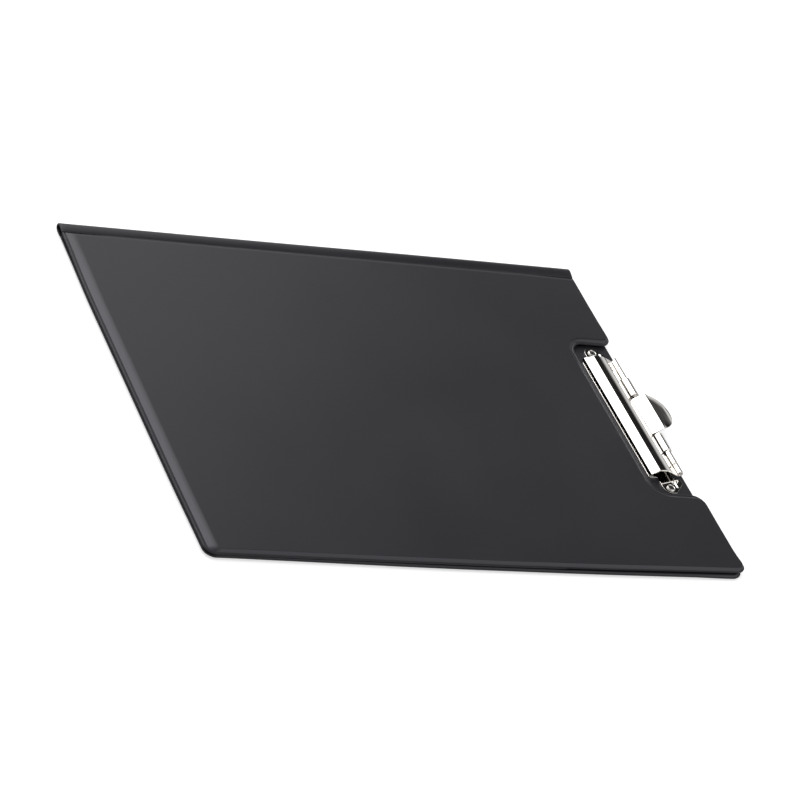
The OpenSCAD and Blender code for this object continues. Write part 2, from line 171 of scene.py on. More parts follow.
def buildVinylGrain():
    # fine calendered grain with a few specks: a height, a speckle mask and a cloudy tone
    group, given, result = startGroup(
        "vinylGrain", "ShaderNodeTree", [("Grain Size", "Float", 1800.0), ("Speck Size", "Float", 160.0)],
        [("Height", "Float"), ("Specks", "Float"), ("Tone", "Float")])
    where = addNode(group, "ShaderNodeTexCoord").outputs["Object"]
    grain = addNode(group, "ShaderNodeTexNoise", {"Vector": where, "Scale": given["Grain Size"], "Detail": 3.0})
    pores = addNode(group, "ShaderNodeTexVoronoi",
                    {"Vector": where, "Scale": given["Grain Size"], "Smoothness": 0.6}, feature="SMOOTH_F1")
    height = mathNode(group, "ADD", grain.outputs["Fac"], pores.outputs["Distance"])
    cells = addNode(group, "ShaderNodeTexVoronoi",
                    {"Vector": where, "Scale": given["Speck Size"], "Randomness": 1.0}).outputs
    dot = mapRange(group, cells["Distance"], 0.035, 0.06, 1.0, 0.0)
    chance = addNode(group, "ShaderNodeSeparateColor", {"Color": cells["Color"]}).outputs["Red"]
    specks = mathNode(group, "MULTIPLY", dot, mathNode(group, "GREATER_THAN", chance, 0.86))
    cloud = addNode(group, "ShaderNodeTexNoise", {"Vector": where, "Scale": 14.0, "Detail": 4.0})
    for name, source in (("Height", height), ("Specks", specks), ("Tone", cloud.outputs["Fac"])):
        group.links.new(source, result[name])
    return group


def buildPlatingWear():
    # plated sheet: fine scuffs drawn out along the clip, and soft waves
    group, given, result = startGroup(
        "platingWear", "ShaderNodeTree", [("Scuff Size", "Float", 900.0), ("Wave Size", "Float", 60.0)],
        [("Scuffs", "Float"), ("Waves", "Float")])
    where = addNode(group, "ShaderNodeTexCoord").outputs["Object"]
    drawn = addNode(group, "ShaderNodeMapping", {"Vector": where, "Scale": (1.0, 0.08, 1.0)}).outputs["Vector"]
    scuffs = addNode(group, "ShaderNodeTexNoise", {"Vector": drawn, "Scale": given["Scuff Size"], "Detail": 5.0})
    waves = addNode(group, "ShaderNodeTexNoise", {"Vector": where, "Scale": given["Wave Size"], "Detail": 1.0})
    group.links.new(scuffs.outputs["Fac"], result["Scuffs"])
    group.links.new(waves.outputs["Fac"], result["Waves"])
    return group


vinylGrain = buildVinylGrain()
platingWear = buildPlatingWear()


def startMaterial(name):
    material = bpy.data.materials.new(name)
    material.use_nodes = True
    return material, material.node_tree, material.node_tree.nodes["Principled BSDF"]


def vinylMaterial(name, look):
    material, tree, shader = startMaterial(name)
    grain = addNode(tree, "ShaderNodeGroup", {"Grain Size": look["grainSize"], "Speck Size": look["speckSize"]},
                    node_tree=vinylGrain).outputs
    tone = rampColour(tree, grain["Tone"], [(0.3, look["dark"]), (0.7, look["light"])])
    colour = addNode(tree, "ShaderNodeMix", {"Factor": grain["Specks"], "A": tone, "B": (*look["speck"], 1.0)},
                     data_type="RGBA")
    bump = addNode(tree, "ShaderNodeBump",
                   {"Strength": look["bump"], "Distance": look["grainDepth"], "Height": grain["Height"]})
    feed(tree, shader, {
        "Base Color": colour.outputs["Result"], "Normal": bump.outputs["Normal"], "IOR": look["ior"],
        "Roughness": mapRange(tree, grain["Tone"], 0.0, 1.0, *look["roughness"]),
        "Specular Tint": (*look["sheen"], 1.0)})
    return material


def nickelMaterial(name, look):
    material, tree, shader = startMaterial(name)
    wear = addNode(tree, "ShaderNodeGroup", {"Scuff Size": look["scuffSize"], "Wave Size": look["waveSize"]},
                   node_tree=platingWear).outputs
    bump = addNode(tree, "ShaderNodeBump",
                   {"Strength": look["bump"], "Distance": look["waveDepth"], "Height": wear["Waves"]})
    feed(tree, shader, {
        "Metallic": 1.0, "Normal": bump.outputs["Normal"],
        "Base Color": rampColour(tree, wear["Waves"], [(0.35, look["dark"]), (0.65, look["light"])]),
        "Roughness": mapRange(tree, wear["Scuffs"], 0.35, 0.7, *look["roughness"])})
    return material


def boardMaterial(name, look):
    material, tree, shader = startMaterial(name)
    where = addNode(tree, "ShaderNodeTexCoord").outputs["Object"]
    fibre = addNode(tree, "ShaderNodeTexNoise", {"Vector": where, "Scale": look["fibreSize"], "Detail": 6.0})
    tone = rampColour(tree, fibre.outputs["Fac"], [(0.3, look["dark"]), (0.7, look["light"])])
    feed(tree, shader, {"Base Color": tone, "Roughness": look["roughness"]})
    return material


outerVinyl = vinylMaterial("outerVinyl", {
    "dark": (0.0120, 0.0117, 0.0150), "light": (0.0150, 0.0147, 0.0182), "speck": (0.05, 0.05, 0.055),
    "roughness": (0.36, 0.46), "bump": 0.35, "grainDepth": 0.00003, "grainSize": 1800.0, "speckSize": 160.0,
    "ior": 1.5, "sheen": (0.95, 0.93, 1.0)})
innerVinyl = vinylMaterial("innerVinyl", {
    "dark": (0.0100, 0.0098, 0.0122), "light": (0.0125, 0.0122, 0.0148), "speck": (0.04, 0.04, 0.044),
    "roughness": (0.42, 0.52), "bump": 0.3, "grainDepth": 0.00003, "grainSize": 2300.0, "speckSize": 140.0,
    "ior": 1.5, "sheen": (0.95, 0.93, 1.0)})
brightNickel = nickelMaterial("brightNickel", {
    "dark": (0.80, 0.775, 0.745), "light": (0.86, 0.84, 0.81), "roughness": (0.045, 0.13), "bump": 0.12,
    "waveDepth": 0.0001, "scuffSize": 900.0, "waveSize": 60.0})
springSteel = nickelMaterial("springSteel", {
    "dark": (0.55, 0.54, 0.52), "light": (0.66, 0.65, 0.63), "roughness": (0.2, 0.32), "bump": 0.1,
    "waveDepth": 0.0001, "scuffSize": 2500.0, "waveSize": 300.0})
greyboard = boardMaterial("greyboard", {
    "dark": (0.27, 0.25, 0.22), "light": (0.42, 0.39, 0.34), "roughness": 0.9, "fibreSize": 900.0})
print("materials ready")

# sizes in millimetres, in the frame of the closed clipboard
panel = {
    "length": 318.0, "width": 237.0, "cornerRadius": 6.0,
    "foldWeldY": 111.5,                          # weld line along the fold
    "skin": 0.2, "halfThick": 1.2, "shoulder": 0.2,
    # from the cut edge to the flat field, and the width of the rim as a share of the full one
    "flatFrom": {"fore": 1.7, "head": 1.5, "foot": 6.4, "fold": 3.2, "notch": 3.6},
    "rimShare": {"fore": 0.13, "head": 0.3, "foot": 1.0, "notch": 0.75},
    "leanFrom": 3.0, "leanFade": 30.0,           # distances over which a rim's lean dies out
    "gridStep": 7.0, "gridGap": 3.0, "waviness": 0.05,
}
notch = {"innerX": 129.7, "middleY": -2.6, "halfWidth": 58.2, "innerRadius": 9.0, "mouthRadius": 7.0}

# where the two panels differ: the back's head edge lies just inside the cover's, the seam is the joint
# between a panel's two sheets, and the soft rims lean towards each other at the foot and the fore-edge,
# and down at the head
coverPanel = {"notched": True, "headX": 159.0, "seamZ": 4.3,
              "lean": {"fore": -0.75, "head": -0.65, "foot": -0.7, "fold": 0.0, "notch": 0.0}}
backPanel = {"notched": False, "headX": 156.9, "seamZ": 1.2,
             "lean": {"fore": 0.5, "head": -0.4, "foot": 0.45, "fold": 0.0}}

# rim and weld, as (distance from the cut edge, height over the seam); the weld's groove is the low point
grooveAt = 1.75
rimSteps = [(0.0, 0.0), (0.0, 0.26), (0.02, 0.33), (0.07, 0.39), (0.15, 0.42), (0.35, 0.435), (0.65, 0.45),
            (0.95, 0.44), (1.25, 0.38), (1.5, 0.28), (1.75, 0.22), (2.0, 0.28), (2.25, 0.40)]


def boardRise(t):
    # height over the seam between the weld (t = 0) and the flat (t = 1); a taut slope, then the shoulder
    return curveValue([(0.0, 0.40), (0.12, 0.55), (0.25, 0.72), (0.38, 0.88), (0.48, 0.98), (0.56, 1.05),
                       (0.64, 1.105), (0.74, 1.155), (0.86, 1.185), (1.0, 1.2)], t)


# a level is a distance from the cut edge up to the weld, and from here on the share of the way to the flat
fieldLevel = 10
riseSteps = [0.06, 0.12, 0.2, 0.28, 0.36, 0.42, 0.48, 0.54, 0.6, 0.67, 0.75, 0.84, 0.92, 1.0, 1.15, 1.5]


def panelCorners(part):
    # corners anticlockwise from the foot and fore-edge, as (place, radius, sign of the bend),
    # and the kind of edge after each
    foot, y0, y1 = -panel["length"] / 2, -panel["width"] / 2, panel["foldWeldY"]
    x, r = part["headX"], panel["cornerRadius"]
    corners = [((foot, y0), r, 1), ((x, y0), r, 1)]
    edges = ["fore", "head"]
    if part["notched"]:
        n0, n1 = notch["middleY"] - notch["halfWidth"], notch["middleY"] + notch["halfWidth"]
        corners += [((x, n0), notch["mouthRadius"], 1), ((notch["innerX"], n0), notch["innerRadius"], -1),
                    ((notch["innerX"], n1), notch["innerRadius"], -1), ((x, n1), notch["mouthRadius"], 1)]
        edges += ["notch", "notch", "notch", "head"]
    corners += [((x, y1), 0.6, 1), ((foot, y1), 0.6, 1)]
    edges += ["fold", "foot"]
    return corners, edges


def edgeMargin(kind, level):
    # along the fold the sheet goes on as the soft spine, so that side starts in the weld's groove
    start, share = (grooveAt, 0.8) if kind == "fold" else (0.0, panel["rimShare"][kind])
    if level < fieldLevel:
        return max(0.0, level - start) * share
    return lerp((rimSteps[-1][0] - start) * share, panel["flatFrom"][kind], level - fieldLevel)


def panelLoop(part, level, arcSteps=10, edgeStep=6.0):
    # points of one loop round the panel, each with its share of the fold's side
    corners, kinds = panelCorners(part)
    n = len(corners)
    margins = [edgeMargin(k, level) for k in kinds]
    places = [Vector(place) for place, radius, bend in corners]
    edges = [places[(i + 1) % n] - places[i] for i in range(n)]      # the edge after each corner
    along = [e.normalized() for e in edges]
    inward = [Vector((-a.y, a.x)) for a in along]
    pulled, radii = [], []
    for i, (place, radius, bend) in enumerate(corners):
        inset = (margins[i - 1] + margins[i]) / 2
        pulled.append(places[i] + inward[i - 1] * margins[i - 1] + inward[i] * margins[i])
        radii.append(max(radius - inset, 0.25) if bend > 0 else radius + inset)
    loop, foldShare = [], []
    for i, (place, radius, bend) in enumerate(corners):
        centre = pulled[i] + bend * (inward[i - 1] + inward[i]) * radii[i]
        start = math.atan2(-bend * inward[i - 1].y, -bend * inward[i - 1].x)
        for k in range(arcSteps + 1):
            angle = start + bend * math.pi / 2 * k / arcSteps
            loop.append(centre + Vector((math.cos(angle), math.sin(angle))) * radii[i])
            foldShare.append(lerp(kinds[i - 1] == "fold", kinds[i] == "fold", k / arcSteps))
        # straight part up to the next corner: points at set shares, the same count at every level
        begin, end = loop[-1], pulled[(i + 1) % n] - along[i] * radii[(i + 1) % n]
        count = max(2, int(edges[i].length / edgeStep))
        for k in range(1, count):
            loop.append(begin.lerp(end, k / count))
            foldShare.append(float(kinds[i] == "fold"))
    return loop, foldShare


def panelWave(x, y):
    # the vinyl is nearly flat: very low, broad waves
    p = Vector((x * 0.011, y * 0.014, 3.1))
    return panel["waviness"] * (noise.noise(p) + 0.4 * noise.noise(p * 2.3))


def rimLean(part, x, y):
    # how far the rim stands off its seam, eased from edge to edge round the corners
    n0, n1 = notch["middleY"] - notch["halfWidth"], notch["middleY"] + notch["halfWidth"]
    near = {"fore": y + panel["width"] / 2, "head": part["headX"] - x, "foot": x + panel["length"] / 2,
            "fold": panel["foldWeldY"] - y}
    if part["notched"]:
        near["notch"] = math.hypot(max(0.0, notch["innerX"] - x), max(0.0, n0 - y, y - n1))
    shares = {k: 1 - smoothStep(panel["leanFrom"], panel["leanFade"], d) for k, d in near.items()}
    return sum(part["lean"][k] * w for k, w in shares.items()) / max(1.0, sum(shares.values()))


def skinRows(part, side, drop=0.0):
    # rows of points from the cut edge over rim, weld and slope to the flat field
    rows = []
    for level, h in rimSteps + [(fieldLevel + t, boardRise(t)) for t in riseSteps]:
        loop, foldShare = panelLoop(part, level)
        share = 1.0 if level < fieldLevel else clamp01(fieldLevel + 1 - level)
        row = []
        for p, fold in zip(loop, foldShare):
            high = lerp(h, min(h, panel["shoulder"] * level / grooveAt), fold) if level < grooveAt else h
            flat = clamp01((high - rimSteps[-1][1]) / 0.8)
            leant = share * rimLean(part, p.x, p.y)
            row.append((p.x, p.y, part["seamZ"] + side * (high + flat * panelWave(p.x, p.y)) + leant - drop))
        rows.append(row)
    return rows


# the sheets aren't quite straight: shifts of the fore-edges in y along x, and of the foot and head ends in x
sway = {
    "coverFore": [(-145, 1.6), (-107, 1.1), (-47, 0.7), (14, 0.4), (74, 0.7), (105, 1.2), (135, 1.6), (159, 1.8)],
    "backFore": [(-145, 1.1), (-107, 0.5), (-77, 0.0), (-47, -0.5), (-17, -0.8), (44, -1.0), (74, -0.95),
                 (105, -0.7), (135, -0.4), (159, -0.1)],
    "footFold": 1.35, "footFore": 0.55, "coverCorner": 1.2, "backCorner": 1.4,
    # where each shift starts and ends
    "nearFore": (-118.5, -80.0), "nearFoot": (-159.0, -95.0), "cornerX": (150.0, 158.0),
    "cornerY": (-118.0, -103.0), "foldSide": (55.0, 118.0), "foreSide": (-118.0, -60.0),
}


def swayed(x, y, z, cover):
    atFore = 1 - smoothStep(*sway["nearFore"], y)
    atFoot = 1 - smoothStep(*sway["nearFoot"], x)
    atCorner = smoothStep(*sway["cornerX"], x) * (1 - smoothStep(*sway["cornerY"], y))
    foldSide, foreSide = smoothStep(*sway["foldSide"], y), 1 - smoothStep(*sway["foreSide"], y)
    dx = atFoot * (sway["footFold"] * foldSide + sway["footFore"] * foreSide)
    dx += atCorner * (sway["coverCorner"] if cover else sway["backCorner"])
    dy = atFore * curveValue(sway["coverFore"] if cover else sway["backFore"], x)
    return x + dx, y + dy, z


def gridPoints(ring):
    # inner points of the flat field, in staggered rows
    x0, y0, step = -panel["length"] / 2, -panel["width"] / 2, panel["gridStep"]
    inner = []
    for i in range(int(panel["length"] / step) + 1):
        for j in range(int(panel["width"] / step) + 1):
            p = (x0 + (i + 0.5 * (j % 2)) * step, y0 + j * step)
            if insidePolygon(p, ring) and min(math.dist(p, q) for q in ring) > panel["gridGap"]:
                inner.append(p)
    return inner


def thicken(obj, sheet, offset):
    thick = obj.modifiers.new("sheet", "SOLIDIFY")
    thick.thickness = sheet * mm
    thick.offset = offset
    return obj


def skinPiece(name, part, side, material):
    # one vinyl sheet of a panel: side 1 is the sheet over the board, -1 the one under it
    rows = skinRows(part, side)
    n = len(rows[0])
    verts = [v for row in rows for v in row]
    faces = []
    for i in range(len(rows) - 1):
        for k in range(n):
            a, b = i * n + k, i * n + (k + 1) % n
            faces.append((a, b, b + n, a + n))
    ring = [(x, y) for x, y, z in rows[-1]]
    points, triangles = fillLoops([ring], gridPoints(ring))
    base = (len(rows) - 1) * n
    verts += [(p.x, p.y, part["seamZ"] + side * (panel["halfThick"] + panelWave(p.x, p.y))) for p in points[n:]]
    faces += [tuple(base + i for i in tri) for tri in triangles]
    if side < 0:
        faces = [tuple(reversed(f)) for f in faces]
    obj = makeObject(name, [swayed(*v, part is coverPanel) for v in verts], faces, material)
    return thicken(obj, panel["skin"], -1.0)


def dress(obj, body, slotName, *nodes):
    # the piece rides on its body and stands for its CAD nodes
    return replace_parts(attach(obj, body), *nodes)


dress(skinPiece("coverOuterSkin", coverPanel, 1, outerVinyl), "cover", "vinyl", "cover_outer_skin")
dress(skinPiece("coverInnerSkin", coverPanel, -1, innerVinyl), "cover", "vinyl", "cover_inner_skin")
dress(skinPiece("backInnerSkin", backPanel, 1, innerVinyl), "back", "vinyl", "back_inner_skin")
dress(skinPiece("backOuterSkin", backPanel, -1, outerVinyl), "back", "vinyl", "back_outer_skin")
print("panels ready")

pocket = {"drop": 0.3, "sheet": 0.12, "mouthX": 46.0, "thumbRadius": 30.0, "thumbY": -2.6,
          "thumbSteps": 40, "mouthSteps": 12}


def buildPocket():
    # clear of the cover's inner sheet by its own thickness, and cut off at the mouth
    rows = skinRows({**coverPanel, "notched": False}, -1, pocket["drop"])
    n = len(rows[0])
    shape = bmesh.new()
    made = [[shape.verts.new(v) for v in row] for row in rows]
    for r0, r1 in zip(made, made[1:]):
        for k in range(n):
            shape.faces.new((r0[k], r1[k], r1[(k + 1) % n], r0[(k + 1) % n]))
    mouth = pocket["mouthX"]
    bmesh.ops.bisect_plane(shape, geom=shape.verts[:] + shape.edges[:] + shape.faces[:], dist=1e-5,
                           plane_co=(mouth, 0, 0), plane_no=(1, 0, 0), clear_outer=True)
    last = [(x, y) for x, y, z in rows[-1]]
    # the flat field's outline: the kept part of the last row, then the mouth with its thumb cut
    field = []
    for k in range(n):
        (ax, ay), (bx, by) = last[k], last[(k + 1) % n]
        if ax < mouth:
            field.append((ax, ay))
        if (ax < mouth) != (bx < mouth):
            field.append((mouth, lerp(ay, by, (mouth - ax) / (bx - ax))))
    start = min(range(len(field)), key=lambda k: (round(mouth - field[k][0], 4), field[k][1]))
    field = field[start:] + field[:start]
    r, ty, steps, count = (pocket[k] for k in ("thumbRadius", "thumbY", "thumbSteps", "mouthSteps"))
    turns = [math.pi * k / steps for k in range(steps + 1)]
    low, high = field[0], field[1]
    edge = [(mouth, lerp(low[1], ty - r, k / count)) for k in range(1, count)]
    edge += [(mouth - r * math.sin(a), ty - r * math.cos(a)) for a in turns]
    edge += [(mouth, lerp(ty + r, high[1], k / count)) for k in range(1, count)]
    outline = [low] + edge + field[1:]
    points, triangles = fillLoops([outline], gridPoints(outline))
    under = coverPanel["seamZ"] - panel["halfThick"]
    flat = [shape.verts.new((p.x, p.y, under - panelWave(p.x, p.y) - pocket["drop"])) for p in points]
    for a, b, c in triangles:
        shape.faces.new((flat[a], flat[c], flat[b]))
    bmesh.ops.remove_doubles(shape, verts=shape.verts[:], dist=0.004)
    bmesh.ops.recalc_face_normals(shape, faces=shape.faces[:])
    if sum(f.normal.z for f in shape.faces) > 0:
        bmesh.ops.reverse_faces(shape, faces=shape.faces[:])
    shape.verts.ensure_lookup_table()
    verts = [swayed(*v.co, True) for v in shape.verts]
    shape.verts.index_update()
    faces = [tuple(v.index for v in f.verts) for f in shape.faces]
    shape.free()
    return thicken(makeObject("coverPocket", verts, faces, innerVinyl), pocket["sheet"], 0.0)


dress(buildPocket(), "cover", "vinyl", "cover_pocket")
print("pocket ready")

spine = {"endRound": 0.3, "rowStep": 12.0, "endRow": 4.0, "puckers": 0.05, "puckerFrom": 112.5,
         "swell": [(-159, 0.42), (-80, 0.5), (-20, 0.6), (40, 0.8), (100, 0.9), (159, 0.9)]}

# section of the soft spine's upper half, as (y, z, swell in y, swell in z),
# from the weld over the bulge to the middle and back inside
spineOutside = [(111.5, 4.50, 0, 0), (112.1, 4.69, 0, 0.1), (112.9, 4.80, 0, 0.25), (114.2, 4.86, 0, 0.55),
                (115.4, 4.84, 0.1, 0.8), (116.3, 4.73, 0.3, 1.0), (117.1, 4.48, 0.5, 1.15),
                (117.75, 4.07, 0.7, 1.15), (118.2, 3.6, 0.75, 0.9), (118.44, 3.17, 0.75, 0.5),
                (118.5, 2.75, 0.75, 0)]
spineInside = [(117.75, 2.75, 0.75, 0), (117.65, 3.15, 0.75, 0.45), (117.35, 3.5, 0.65, 0.8),
               (116.9, 3.72, 0.45, 1.0), (116.2, 3.86, 0.3, 0.95), (115.3, 3.93, 0.1, 0.75),
               (114.2, 3.95, 0, 0.5), (112.9, 3.93, 0, 0.2), (112.1, 3.95, 0, 0.1), (111.5, 4.1, 0, 0)]


def spineHalf(name, upper, material):
    # the closed section drawn out along the fold, with its two ends eased inwards
    section = spineOutside + spineInside
    middleZ = (coverPanel["seamZ"] + backPanel["seamZ"]) / 2
    cy = sum(p[0] for p in section) / len(section)
    cz = sum(p[1] for p in section) / len(section)
    half, ease = panel["length"] / 2, spine["endRound"]
    stations = [(-half, 0.75), (-half + 0.06, 0.9), (-half + ease, 1.0)]
    count = int(panel["length"] / spine["rowStep"])
    stations += [(lerp(spine["endRow"] - half, half - spine["endRow"], k / count), 1.0) for k in range(count + 1)]
    stations += [(half - ease, 1.0), (half - 0.06, 0.9), (half, 0.75)]
    verts, faces = [], []
    n = len(section)
    for x, size in stations:
        swell = curveValue(spine["swell"], x)
        for y, z, dy, dz in section:
            bulge = clamp01((y - spine["puckerFrom"]) / 3.0)
            ripple = spine["puckers"] * bulge * noise.noise(Vector((x * 0.03, 7.7, 0.3)))
            # the weld and the middle line stay put
            middle = z <= middleZ + 0.01
            keep = 1.0 if middle or y <= panel["foldWeldY"] + 0.01 else size
            yy = lerp(cy, y, lerp(1.0, keep, 0.35)) + ripple + dy * swell
            zz = z if middle else lerp(cz, z, keep) + (dz * swell if upper else 0.0)
            verts.append(swayed(x, yy, zz if upper else 2 * middleZ - zz, True))
    for i in range(len(stations) - 1):
        for k in range(n):
            a, b = i * n + k, i * n + (k + 1) % n
            faces.append((a, a + n, b + n, b))
    faces.append(tuple(range(n)))
    faces.append(tuple(reversed(range((len(stations) - 1) * n, len(stations) * n))))
    if not upper:
        faces = [tuple(reversed(f)) for f in faces]
    obj = makeObject(name, verts, faces, material)
    obj.data.set_sharp_from_angle(angle=math.radians(60))
    return obj


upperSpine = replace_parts(spineHalf("spineUpperHalf", True, outerVinyl), "fold_outer_skin")
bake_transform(upperSpine)
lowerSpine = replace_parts(spineHalf("spineLowerHalf", False, outerVinyl), "fold_inner_skin")
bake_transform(lowerSpine)
print("spine ready")


def bendPath(corners, radii, roll=None):
    # straight runs and bends through corners, measured on the sheet's upper face;
    # roll is a last arc: (centre, radius, start angle, sweep), angles in degrees
    pieces = []
    here = Vector(corners[0])
    for i in range(1, len(corners)):
        corner = Vector(corners[i])
        a = (corner - Vector(corners[i - 1])).normalized()
        if i == len(corners) - 1:
            pieces.append(("run", here, a, (corner - here).length))
            break
        b = (Vector(corners[i + 1]) - corner).normalized()
        turn = math.atan2(a.x * b.y - a.y * b.x, a.dot(b))
        r = radii[i - 1]
        t = r * math.tan(abs(turn) / 2)
        start = corner - a * t
        pieces.append(("run", here, a, (start - here).length))
        left = Vector((-a.y, a.x)) * math.copysign(1, turn)
        centre = start + left * r
        a0 = math.atan2(start.y - centre.y, start.x - centre.x)
        pieces.append(("bend", centre, r, a0, turn, r * abs(turn)))
        here = corner + b * t
    if roll:
        centre, r, a0, sweep = roll
        turn = math.radians(sweep)
        pieces.append(("bend", Vector(centre), r, math.radians(a0), turn, r * abs(turn)))
    return pieces


def pathPoint(pieces, u):
    # the point at length u along the path; past the end it goes straight on
    for i, p in enumerate(pieces):
        length = p[-1]
        if u <= length or i == len(pieces) - 1:
            if p[0] == "run":
                return p[1] + p[2] * u
            if u > length:
                ang = p[3] + p[4]
                on = p[1] + Vector((math.cos(ang), math.sin(ang))) * p[2]
                along = Vector((-math.sin(ang), math.cos(ang))) * math.copysign(1, p[4])
                return on + along * (u - length)
            ang = p[3] + p[4] * u / length
            return p[1] + Vector((math.cos(ang), math.sin(ang))) * p[2]
        u -= length


def pathRows(pieces, bendStep, runStep=6.0):
    # where the rows of points lie: bendStep in degrees, runStep in millimetres
    rows, u = [0.0], 0.0
    for p in pieces:
        length = p[-1]
        if p[0] == "bend":
            n = max(2, math.ceil(abs(math.degrees(p[4])) / bendStep))
        else:
            n = max(1, math.ceil(length / runStep))
        rows += [u + length * (k + 1) / n for k in range(n)]
        u += length
    return rows


def pathLength(pieces):
    return sum(p[-1] for p in pieces)


def roundCorners(points, radii, steps=4):
    # corners (u, v) anticlockwise with their own radii; a radius of 0 keeps the corner
    out = []
    n = len(points)
    for i in range(n):
        p, r = Vector(points[i]), radii[i]
        if r <= 0:
            out.append(p)
            continue
        a = (Vector(points[i - 1]) - p).normalized()
        b = (Vector(points[(i + 1) % n]) - p).normalized()
        half = math.acos(max(-1, min(1, a.dot(b)))) / 2
        t = r / math.tan(half)
        centre = p + (a + b).normalized() * r / math.sin(half)
        s, e = p + a * t - centre, p + b * t - centre
        whole = s.angle_signed(e)
        for k in range(steps + 1):
            ang = -whole * k / steps
            c, d = math.cos(ang), math.sin(ang)
            out.append(centre + Vector((s.x * c - s.y * d, s.x * d + s.y * c)))
    return out


def splitEdges(loop, rows, vStep):
    # adds the points where the outline crosses the bend rows, and points every vStep along the pin,
    # none of them closer to a corner or to each other than these gaps
    cornerGap, pointGap = 0.07, 0.015
    out = []
    n = len(loop)
    for i in range(n):
        a, b = loop[i], loop[(i + 1) % n]
        shares = {0.0}
        du, dv = b.x - a.x, b.y - a.y
        if abs(du) > 1e-6:
            for row in rows:
                s = (row - a.x) / du
                if cornerGap < s * abs(du) < abs(du) - cornerGap:
                    shares.add(s)
        if abs(dv) > vStep:
            m = math.ceil(abs(dv) / vStep)
            shares.update(k / m for k in range(1, m))
        last = None
        for s in sorted(shares):
            p = a.lerp(b, s)
            if last is None or (p - last).length > pointGap:
                out.append(p)
                last = p
    return out


def bentSheet(name, loops, rows, surface, columns):
    # a cut blank (outline anticlockwise, holes clockwise) laid on a bent surface, with rounded edges
    thick, edgeRound = clip["sheet"], clip["edge"]

    def frameAt(u, v):
        e = 0.01
        p = surface(u, v)
        t = (surface(u + e, v) - surface(u - e, v)).normalized()
        s = (surface(u, v + e) - surface(u, v - e)).normalized()
        return p, t, s, t.cross(s).normalized()

    def warp(u):
        # rows on tight bends are spread out, so the filling triangles stay well shaped
        total = 0.0
        for a, b in zip(rows, rows[1:]):
            step = max(b - a, clip["leastRow"])
            if u <= b:
                return total + step * (u - a) / (b - a)
            total += step
        return total + (u - rows[-1])

    edge = [(edgeRound * (1 - math.sin(f)), edgeRound * (1 - math.cos(f)), f, 1) for f in
            [math.radians(a) for a in (0, 30, 60, 90)]]
    edge += [(i, thick - d, f, -1) for i, d, f, s in reversed(edge)]
    verts, normals, faces = [], [], []
    flat, starts = [], []
    for loop in loops:
        n = len(loop)
        outward = []
        for i in range(n):
            a = (loop[i] - loop[i - 1]).normalized()
            b = (loop[(i + 1) % n] - loop[i]).normalized()
            na, nb = Vector((a.y, -a.x)), Vector((b.y, -b.x))
            m = (na + nb) / max(0.3, 1 + na.dot(nb))
            outward.append(m)
        rings = []
        for inset, depth, f, side in edge:
            ring = []
            for p, m in zip(loop, outward):
                q = p - m * inset
                at, t, s, up = frameAt(q.x, q.y)
                ring.append(len(verts))
                verts.append(Vector((at.x, at.y, at.z)) - up * depth)
                out3 = (t * m.x + s * m.y).normalized()
                normals.append(out3 * math.sin(f) + up * (side * math.cos(f)))
            rings.append(ring)
        for r0, r1 in zip(rings, rings[1:]):
            for i in range(n):
                j = (i + 1) % n
                faces.append((r0[i], r1[i], r1[j], r0[j]))
        starts.append(rings)
        shrunk = [p - m * edgeRound for p, m in zip(loop, outward)]
        flat.append([(warp(p.x), p.y) for p in shrunk])
    inner, innerU = [], []
    for row in rows:
        w = warp(row)
        for v in columns:
            p = Vector((w, v))
            if insidePolygon((w, v), flat[0]) and not any(insidePolygon((w, v), h) for h in flat[1:]):
                if min((Vector(q) - p).length for loop in flat for q in loop) > clip["leastGap"]:
                    inner.append((w, v))
                    innerU.append(row)
    points, triangles = fillLoops(flat, inner)
    topIds, bottomIds = [], []
    for rings in starts:
        topIds += rings[0]
        bottomIds += rings[-1]
    for (w, v), u in zip(inner, innerU):
        at, t, s, up = frameAt(u, v)
        topIds.append(len(verts))
        verts.append(at)
        normals.append(up)
        bottomIds.append(len(verts))
        verts.append(at - up * thick)
        normals.append(-up)
    for tri in triangles:
        faces.append(tuple(topIds[i] for i in tri))
        faces.append(tuple(bottomIds[i] for i in reversed(tri)))
    return makeObject(name, verts, faces, brightNickel, normals)


# the clip is measured from its hinge pin: x to the rear, z up
pinAt = Vector((151.4, -2.6, 6.06))
clip = {"sheet": 0.7, "edge": 0.16, "plateTop": -2.96, "rollInner": 1.06, "strapOuter": 2.52,
        "strapMiddle": 21.4, "strapWidth": 12.5, "length": 88.8,
        "leastRow": 1.2, "leastGap": 0.35}       # spacing of the points that fill a sheet
jaw = {
    "front": (-18.4, -2.91), "lipTop": (-17.95, -1.1), "crestFront": (-14.3, 1.96), "crestRear": (-9.2, 2.60),
    "lipBend": 0.7, "frontBend": 1.6, "rearBend": 14.6,          # bend radii of the plate
    "closedTo": 172.0, "openTo": 132.0,          # how far the knuckles go round the pin
    "windowFront": 3.62, "windowInner": 14.55, "windowOuter": 28.25, "relief": (37.35, 37.85),
    "valley": (-3.50, 0.28), "tabBend": (2.17, 5.11), "knee": (10.4, 4.76), "droop": -11.5, "tabReach": 16.0,
    "valleyRadius": 0.8, "tabBendRadius": 2.6, "kneeRadius": 14.0, "blendFrom": 14.5, "blendTo": 18.0,
    "tabRadius": 13.5, "tabCentre": -0.4, "tabMiddle": -0.8, "tabSteps": 48,
    "domeFrom": 9.5, "domeDrop": 0.28,           # the tab's rim falls away from here
    "foldFlare": 2.0, "flareTo": 5.5,            # the front corner at the fold's side runs wider
}


